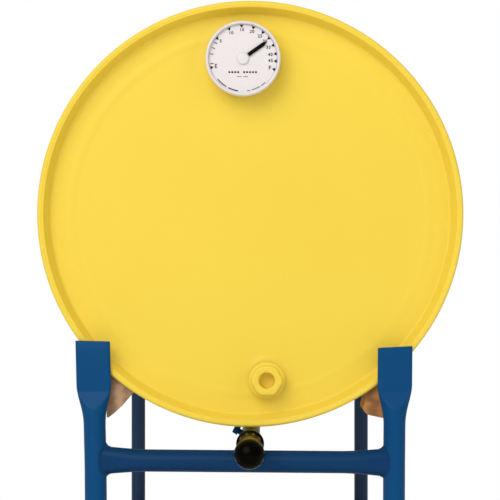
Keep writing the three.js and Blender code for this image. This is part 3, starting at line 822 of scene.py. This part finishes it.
def cross_tube_welds():
    """Painted fillets that run round the tube's flared ends onto the posts."""
    steps = 8
    for side, sign in zip(SIDES, (-1, 1)):
        rings = []
        for step in range(-1, steps + 2):
            turn = math.pi / 2 * min(max(step / steps, 0), 1)
            tucked = 1.5 if step in (-1, steps + 1) else 0
            ring = []
            for _, c, s in around(84):
                lumps = noise.noise(Vector((sign * 3, c, s)) * 2.6)
                fillet = 5.2 * (1 + 0.4 * lumps) * (0.45 + 0.55 * abs(s))
                rise = fillet * (1 - math.cos(turn)) - (tucked if step < 0 else 0)
                along = fillet * (1 - math.sin(turn)) - (tucked if step > 0 else 0)
                across = (11.9 + rise) * c
                away = math.sqrt(POST_R ** 2 - min(abs(across), POST_R) ** 2)
                x = RAIL_X[side] - sign * (away - 0.3 + along)
                ring.append((x, CROSS.y + across, cross_z(x) + (19.4 + rise) * s))
            rings.append(ring)
        weld = loft(f"cross_weld_{side}", rings, closed=True, sharp=math.radians(60))
        # The fillets take the cross tube's darker paint: painted shade under the drum.
        dress(weld, "front_cross_tube", "tie_blue")


def rail_path(side):
    """The side rail's middle line: straight back under the drum, then down to the lower rail."""
    low, high = span(f"side_rail_{side}")
    rail_r = 12.5
    top = high.z - rail_r
    back = high.y - rail_r
    bend = 75
    x = (low.x + high.x) / 2
    path = [(x, low.y + (back - bend - low.y) * step / 12, top) for step in range(12)]
    turns = 18
    for step in range(turns + 1):
        angle = math.pi / 2 * step / turns
        path.append((x, back - bend + bend * math.sin(angle), top - bend + bend * math.cos(angle)))
    return path + [(x, back, top - bend + (low.z - top + bend) * step / 8) for step in range(1, 9)]


def side_rail(side):
    path = rail_path(side)
    node = f"side_rail_{side}"
    # The rail takes a darker copy of the frame paint: painted shade under the drum.
    fit(swept(f"bent_rail_{side}", path, 12.4, sides=40), node, "rail_blue")
    x, y, foot = path[-1]
    weld_r = 12.6
    lower_r = 15.2
    ring = [(x + weld_r * c, y + weld_r * s,
             foot + 0.6 - (lower_r - math.sqrt(lower_r ** 2 - (weld_r * c) ** 2))) for _, c, s in around(48)]
    weld_bead(f"leg_weld_{side}", ring, node, 2.2)


def lower_frame():
    bore = POST_R - WALL
    for side in SIDES:
        node = f"lower_side_rail_{side}"
        low, high = span(node)
        end = centre(node)
        fit(pipe(f"lower_rail_{side}", bore, POST_R, low.y, high.y, end, segments=56), node)
        cap = turned(f"rail_cap_{side}", [(0, high.y - 8), (bore - 0.2, high.y - 8),
                                          (bore - 0.2, high.y - 0.6), (0, high.y - 0.3)], end, segments=48)
        dress(cap, node, "seal_rubber")
    reach = (RAIL_X["right"] - RAIL_X["left"]) / 2 - 15.3
    for node, name in (("lower_front_cross_tube", "front_tie"), ("lower_rear_cross_tube", "rear_tie")):
        middle = centre(node)
        fit(pipe(name, bore, POST_R, middle.x - reach, middle.x + reach, middle, "X", (0, 0), 56), node)
        for sign, side in ((-1, "left"), (1, "right")):
            path = [(middle.x + sign * reach, middle.y + 15 * c, middle.z + 14.6 * s)
                    for _, c, s in around(64)]
            weld_bead(f"{name}_weld_{side}", path, node, 2.4)


def chock(side, sign):
    """A hardwood saddle block: its upper face follows the drum and it straddles the side rail."""
    node = f"chock_{side}"
    low, high = span(node)
    depth = high.y - low.y
    seat = BODY_R + 1
    rail_z = rail_path(side)[0][2]
    slot = 13.2
    edge = abs(RAIL_X[side])
    outer = edge + 15
    inner, finish, nose = CHOCKS[side]
    start = math.atan2(-math.sqrt(seat ** 2 - outer ** 2), outer)
    stop = math.atan2(-math.sqrt(seat ** 2 - inner ** 2), inner)
    angles = [start + (stop - start) * step / 24 for step in range(25)]
    outline = [(seat * math.cos(angle), DRUM_MIDDLE.z + seat * math.sin(angle)) for angle in angles]
    outline += softened([(x, DRUM_MIDDLE.z + z, r) for x, z, r in [(inner, -245, 0)] + nose])[1:]
    outline += [(edge - slot, DRUM_MIDDLE.z + nose[-1][1] - 0.4), (edge - slot, rail_z)]
    for step in range(1, 13):
        angle = math.pi * (1 - step / 12)
        outline.append((edge + slot * math.cos(angle), rail_z + slot * math.sin(angle)))
    outline += [(edge + slot, DRUM_MIDDLE.z - 272), (outer, DRUM_MIDDLE.z - 272)]
    rings = [[(sign * x, low.y + depth * i / 8, z) for x, z in outline] for i in range(9)]
    fit(broken_edges(loft(f"saddle_block_{side}", rings), 1.6), node, finish)
    for place in (0.3, 0.72):
        screw = turned(f"saddle_screw_{side}_{int(place * 100)}", [
            (0, -1.2), (1.4, -1.2, 0.3), (1.6, -0.1), (4.6, -0.1, 0.3), (5.2, 1.2, 0.8), (5.0, 2.4),
            (0, 2.4)], (0, low.y + depth * place, DRUM_MIDDLE.z - 205), "X", segments=32)
        screw.data.transform(Matrix.Scale(-sign, 4, (1, 0, 0)))
        moved(screw, sign * outer, 0, 0)
        dress(screw, node, "zinc_steel")


# ---- the pull handle

HANDLE = centre("handle_rod")


def handle_grip():
    """A moulded grip with a ball end and a fluted collar."""
    low, high = span("handle_grip")
    ball = 19.8
    bore = 9.9
    flutes = 10
    flute_depth = 2.6
    count = flutes * 12
    angles = [math.pi * 0.62 * step / 14 for step in range(15)]
    outline = [(ball * math.sin(angle), low.y + ball * (1 - math.cos(angle))) for angle in angles]
    outline += softened([
        outline[-1], (15.6, low.y + 44, 12), (15.2, low.y + 80, 10), (14.6, high.y - 44, 6),
        (16.6, high.y - 38, 3), (17.3, high.y - 14, 3), (14.4, high.y - 11, 1.2), (14.4, high.y - 7.6, 1.2),
        (18.9, high.y - 6.6, 1.4), (19, high.y - 0.8, 0.8), (18.3, high.y, 0.6), (bore, high.y)])[1:]
    fine = [outline[0]]
    for near, far in zip(outline, outline[1:]):
        pieces = max(1, int(math.dist(near, far) / 2.0))
        fine += [[a + (b - a) * (k + 1) / pieces for a, b in zip(near, far)] for k in range(pieces)]
    rings = []
    for radius, along in fine:
        inside = min(max((along - (high.y - 41)) / 4, 0), 1) * min(max((high.y - 12 - along) / 4, 0), 1)
        ring = []
        for angle, c, s in around(count):
            wave = 0.5 - 0.5 * math.cos(flutes * angle)
            size = radius - flute_depth * inside * wave ** 0.6
            ring.append(on_axis(size * c, size * s, along, HANDLE, "Y"))
        rings.append(ring)
    rings += [[on_axis(bore * c, bore * s, along, HANDLE, "Y") for _, c, s in around(count)]
              for along in (high.y, high.y - 20)]
    fit(loft("grip", rings, caps=False, sharp=math.radians(45)), "handle_grip")


def handle_parts():
    low, high = span("handle_rod")
    fit(rod("pull_rod", 9.5, low.y, high.y, HANDLE, edges=(1, 1.5), segments=56), "handle_rod")
    bore = 9.8
    outside = 13
    low, high = span("handle_sleeve")
    sleeve = pipe("sleeve", bore, outside, low.y, high.y, HANDLE, edges=(0.5, 1), segments=56)
    # The sleeve, frame blue by its slot, takes the black grip finish: painted shade for the dark stretch
    # under the drum.
    fit(sleeve, "handle_sleeve", "grip_black")
    low, high = span("handle_stop_collar")
    collar = pipe("stop_collar", bore, outside, low.y, high.y, HANDLE, edges=(0.5, 1.2), segments=56)
    fit(collar, "handle_stop_collar")
    pin = rod("collar_pin", 2.2, -11.6, 11.6, (HANDLE.x, (low.y + high.y) / 2, 0), "Z", (0.6, 0.6), 24)
    moved(pin, 0, 0, HANDLE.z)
    dress(pin, "handle_stop_collar", "needle_black")


def lock_screw():
    """A screw that points up and to the left out of the sleeve, with a hexagonal head."""
    spot = Vector((HANDLE.x, centre("handle_lock_screw").y, HANDLE.z))
    shank = turned("shank", [(0, 10.2), (4, 10.2, 0.5), (4, 19.2), (7, 19.2, 0.4), (7, 20.4, 0.3),
                             (0, 20.4)], (0, 0, 0), "Z", segments=48)
    rows = ((6.1, 20.4), (6.6, 20.9), (6.6, 25.4), (6.0, 26.6), (3.6, 27))
    rings = [[(size * c, size * s, along) for _, c, s in around(6, 0.5)] for size, along in rows]
    screw = joined("lock_screw", [shank, broken_edges(loft("head", rings), 0.4)])
    screw.data.transform(Matrix.Translation(spot * MM) @ Matrix.Rotation(math.radians(-60), 4, "Y"))
    fit(screw, "handle_lock_screw")


def guide_strap():
    """A strap bent over the rod and welded to the cross tube."""
    low, high = span("handle_guide")
    steps = 40
    foot = -14.4
    outline = []
    for radius, sign in ((13.7, 1), (9.9, -1)):
        arc = [(sign * radius * math.cos(math.pi * i / steps), radius * math.sin(math.pi * i / steps))
               for i in range(steps + 1)]
        outline += [(sign * radius, foot)] + arc + [(-sign * radius, foot)]
    outline = [(HANDLE.x + across, HANDLE.z + rise) for across, rise in outline]
    strap = plate("strap", outline, low.y, high.y, "Y", bevel=0)
    fit(broken_edges(cut_by(strap, [cross_tube_tool()]), 0.5), "handle_guide")


def gusset():
    """A web that carries the sleeve on the cross tube."""
    low, high = span("sleeve_gusset")
    front = low.y + 0.2
    top = high.z - 0.2
    outline = [(front, low.z), (low.y + 16, low.z, 3), (high.y, high.z - 6, 2), (high.y, top, 1),
               (front, top)]
    web = plate("gusset", outline, low.x, high.x, "X", bevel=0)
    fit(broken_edges(cut_by(web, [cross_tube_tool()]), 0.6), "sleeve_gusset")


# ---- the casters

def hexagon_head(name, middle, axis, start, stop, across=14):
    """A hexagonal bolt head or nut with its corners broken."""
    size = across / math.sqrt(3)
    up = 1 if stop > start else -1
    rows = ((size * 0.95, start), (size, start + 0.4 * up), (size, stop - up), (size * 0.9, stop))
    rings = [[on_axis(radius * c, radius * s, along, middle, axis) for _, c, s in around(6)]
             for radius, along in rows]
    return broken_edges(loft(name, rings), 0.35)


def mounting_plate(end, side):
    node = f"{end}_mounting_plate_{side}"
    low, high = span(node)
    fit(block(f"plate_{end}_{side}", low, high, corner=10), node)
    top = high.z
    for x, across in ((low.x + 12, "left"), (high.x - 12, "right")):
        for y, along in ((low.y + 12, "front"), (high.y - 12, "rear")):
            nut = hexagon_head("nut", (x, y, 0), "Z", top, top + 6.5)
            stem = rod("stem", 4, top + 5, top + 9.5, (x, y, 0), "Z", (0, 0.8), 24)
            dress(joined(f"plate_nut_{end}_{side}_{across}_{along}", [nut, stem]), node, "zinc_steel")


def fork_top(low, high):
    return block("top", (low.x, low.y, high.z - 4), high, corner=9)


def fork_legs(outline, middle):
    """Two side plates, each 4 thick, on either side of the wheel."""
    return [plate("leg", outline, middle + near, middle + near + 4, bevel=0.5) for near in (-24, 20)]


def rigid_fork(side):
    node = f"rigid_fork_{side}"
    low, high = span(node)
    place = centre(node)
    axle_z = centre(f"front_wheel_{side}_axle").z
    shape = [(-11, axle_z - 11.5, 9), (11, axle_z - 11.5, 9), (34, high.z - 12, 12), (36, high.z - 3.8, 0),
             (-36, high.z - 3.8, 0), (-34, high.z - 12, 12)]
    outline = [(place.y + along, z, corner) for along, z, corner in shape]
    fit(joined(f"fixed_fork_{side}", [fork_top(low, high)] + fork_legs(outline, place.x)), node)


def swivel_caster(side):
    node = f"swivel_plate_{side}"
    low, high = span(node)
    place = centre(node)
    race = turned("race", [(6.3, high.z - 3), (32, high.z - 3), (32, low.z + 3.5, 2.5), (29, low.z, 1.5),
                           (6.3, low.z)], place, "Z", closed=True, segments=72)
    fit(joined(f"swivel_top_{side}", [fork_top(low, high), race]), node)

    top = low.z - 0.4
    foot = top - 6.6
    wheel_y, wheel_z = centre(f"rear_wheel_{side}_axle").yz
    pin = fork_pin(side)
    crown = turned("crown", [(0, foot), (24, foot, 2), (36, foot + 1.5, 2), (36, top, 1.6), (0, top)],
                   place, "Z", segments=72)
    kingpin = rod("kingpin", 5.9, top - 1, high.z - 0.4, place, "Z", (0, 1), 32)
    outline = [(wheel_y - 11, wheel_z - 11.5, 9), (wheel_y + 11, wheel_z - 11.5, 9),
               (pin.y + 8.8, pin.z - 8, 6), (pin.y + 8.8, pin.z + 8.8, 6), (place.y + 38, top, 4),
               (place.y - 26, top, 4), (place.y - 26, foot - 6, 8)]
    fork = joined(f"turning_fork_{side}", [crown, kingpin] + fork_legs(outline, place.x))
    fit(fork, f"swivel_fork_{side}")


def fork_pin(side):
    """The brake pedal's pin, near the pedal's lower front corner."""
    low, high = span(f"brake_pedal_{side}")
    return Vector(((low.x + high.x) / 2, low.y + 5, low.z + 5))


def wheel(end, side):
    name = f"{end}_wheel_{side}"
    place = centre(f"{name}_core")
    body = [(5.3, 18, 0.6), (12, 18, 1.2), (13.5, 9, 5), (30, 6.5, 5), (46, 8, 4), (48.5, 13, 1.5),
            (50.2, 13)]
    core = turned(f"{end}_wheel_centre_{side}", mirrored(body, place.x), place, "X", closed=True)
    fit(core, f"{name}_core")
    ribs = []
    for turn in range(8):
        rib = block("rib", (-15.5, 13.5, -1.6), (15.1, 45.5, 1.6), 0.8)
        rib.data.transform(Matrix.Rotation(FULL_TURN * turn / 8, 4, "X"))
        rib.data.transform(Matrix.Diagonal((0.72, 1, 1, 1)))
        moved(rib, *place)
        ribs.append(rib)
    bpy.context.view_layer.update()
    dress(joined(f"{end}_wheel_ribs_{side}", ribs), f"{name}_core")
    tread = [(50.6, 13), (54, 15.2, 2), (58, 16, 3), (61.8, 14.6, 2.5), (63.2, 9, 4)]
    outline = mirrored(tread, place.x, [(63.45, place.x, 6)])
    fit(turned(f"{end}_tyre_{side}", outline, place, "X", closed=True, segments=128), f"{name}_tyre")
    reach = 24.3
    axle = rod("pin", 4.9, place.x - reach, place.x + reach, place, "X", segments=32)
    nuts = [hexagon_head("nut", place, "X", place.x + sign * reach, place.x + sign * 27) for sign in (-1, 1)]
    fit(joined(f"{end}_axle_bolt_{side}", [axle] + nuts), f"{name}_axle")


def brake_pedal(side):
    node = f"brake_pedal_{side}"
    pin = fork_pin(side)
    profile = [(-5, -1.8, 1), (2, -4.8, 2), (30, 1.6, 10), (58.6, 8.6, 1), (57.8, 12.6, 1), (30, 7.4, 10),
               (6, 5.6, 3), (-4.8, 3.8, 1.5)]
    outline = [(pin.y + along, pin.z + rise, corner) for along, rise, corner in profile]
    lever = plate("lever", outline, pin.x - 18.8, pin.x + 18.8, bevel=0.8)
    bar_low = Vector((pin.x - 23.8, pin.y + 18, pin.z + 1))
    cross = block("bar", bar_low, bar_low + Vector((47.6, 3, 4)), 0.5)
    axle = rod("axle", 4, pin.x - 26.8, pin.x + 26.8, pin, "X", (0.8, 0.8), 32)
    fit(joined(f"brake_lever_{side}", [lever, cross, axle]), node)
    grips = []
    for step in range(5):
        y = pin.y + 30 + 5.5 * step
        z = pin.z + 7.0 + 1.25 * step
        grips.append(block("grip", (pin.x - 15, y, z), (pin.x + 15, y + 2.4, z + 1.2), 0.3))
    dress(joined(f"brake_treads_{side}", grips), node, "tyre_rubber")


def level_float():
    """The level gauge's round float, inside the drum."""
    low, high = span("float")
    radius = (high.x - low.x) / 2
    turns = [math.radians(degrees) for degrees in range(-84, 85, 6)]
    half = [(radius * math.cos(turn), radius * math.sin(turn)) for turn in turns]
    ball = turned("float_ball", [(0, -radius)] + half + [(0, radius)], (0, 0, 0), segments=64)
    lean = Matrix.Rotation(math.radians(-16.6), 4, "X")
    ball.data.transform(Matrix.Translation(centre("float") * MM) @ lean)
    fit(ball, "float")


# ---- the whole object

def build():
    drum_shell()
    drum_heads()
    bung_flange("gauge_bung_flange", 29.5, 36)
    bung_flange("small_bung_flange", 13.4, 19)
    gasket("gauge_gasket", 29.6)
    gasket("bung_plug_gasket", 13.5)
    bung_plug()
    gauge_case()
    gauge_dial()
    gauge_lens()
    gauge_needle()
    level_float()
    for side, sign in zip(SIDES, (-1, 1)):
        front_post(side)
        side_rail(side)
        chock(side, sign)
        for end in ("front", "rear"):
            mounting_plate(end, side)
            wheel(end, side)
        rigid_fork(side)
        swivel_caster(side)
        brake_pedal(side)
    front_cross_tube()
    cross_tube_welds()
    lower_frame()
    handle_grip()
    handle_parts()
    lock_screw()
    guide_strap()
    gusset()
    for node, shape in frame["nodes"].items():
        if not shape.hide_render:
            shape.data.materials.clear()
            shape.data.materials.append(MATERIALS[SLOT_OF[node]])


def area_light(name, spot, target, size, power, colour):
    data = bpy.data.lights.new(name, "AREA")
    data.shape = "ELLIPSE"
    data.size, data.size_y = size
    data.energy = power
    data.color = colour
    light = new_object(name, data)
    light.location = spot
    light.visible_glossy = name == "key"
    light.rotation_euler = (Vector(target) - Vector(spot)).to_track_quat("-Z", "Y").to_euler()


def studio():
    """A pale floor, a soft key light from the upper left and an even white room."""
    floor = block("floor", (-3200, -3200, -12), (3200, 1700, 0), 1)
    n = Nodes("pale_floor")
    tone = n.mix(n.spread(n.noise(2.5), 0, 1), rgba((0.86, 0.86, 0.86)), rgba((0.90, 0.90, 0.90)))
    floor.data.materials.append(n.finish(Base_Color=tone, Roughness=n.spread(n.noise(5), 0.6, 0.75),
                                         Normal=n.bump(n.noise(120, 2), 0.05, 0.0004)))
    area_light("key", (-1.3, -3.1, 2.6), (0, -0.3, 0.8), (3.2, 3.2), 88, (1.0, 0.99, 0.97))
    area_light("fill", (2.6, -2.4, 1.4), (0, -0.2, 0.6), (2.4, 2.0), 12, (0.96, 0.98, 1.0))
    area_light("low fill", (0.3, -2.8, 0.5), (0, -0.3, 0.8), (2.0, 0.8), 4, (1.0, 0.98, 0.95))
    area_light("back fill", (1.2, 3.6, 2.6), (0, 0.4, 0.7), (3.0, 2.4), 60, (1.0, 0.99, 0.98))
    world = bpy.data.worlds.new("room")
    world.use_nodes = True
    tree = world.node_tree
    backdrop = tree.nodes["Background"]
    soft = tree.nodes.new("ShaderNodeBackground")
    for shade_node, strength in ((backdrop, 1.0), (soft, 0.46)):
        shade_node.inputs["Color"].default_value = rgba((1, 1, 1))
        shade_node.inputs["Strength"].default_value = strength
    path = tree.nodes.new("ShaderNodeLightPath")
    blend = tree.nodes.new("ShaderNodeMixShader")
    tree.links.new(path.outputs["Is Camera Ray"], blend.inputs[0])
    tree.links.new(soft.outputs[0], blend.inputs[1])
    tree.links.new(backdrop.outputs[0], blend.inputs[2])
    tree.links.new(blend.outputs[0], tree.nodes["World Output"].inputs["Surface"])
    bpy.context.scene.world = world
    bpy.context.scene.view_settings.view_transform = "Standard"


def camera():
    """Level, in front of the posts, a little right of the drum's axis and lower than it."""
    data = bpy.data.cameras.new("camera")
    data.sensor_width = 36
    data.lens = 118.2
    data.shift_x = -0.0275
    data.shift_y = 0.0410
    eye = new_object("camera", data)
    post = centre("front_post_left")
    eye.location = Vector((DRUM_MIDDLE.x + 18.5, post.y - 2244, DRUM_MIDDLE.z - 77.7)) * MM
    eye.rotation_euler = (math.pi / 2, 0, 0)
    bpy.context.scene.camera = eye


camera()
build()
studio()
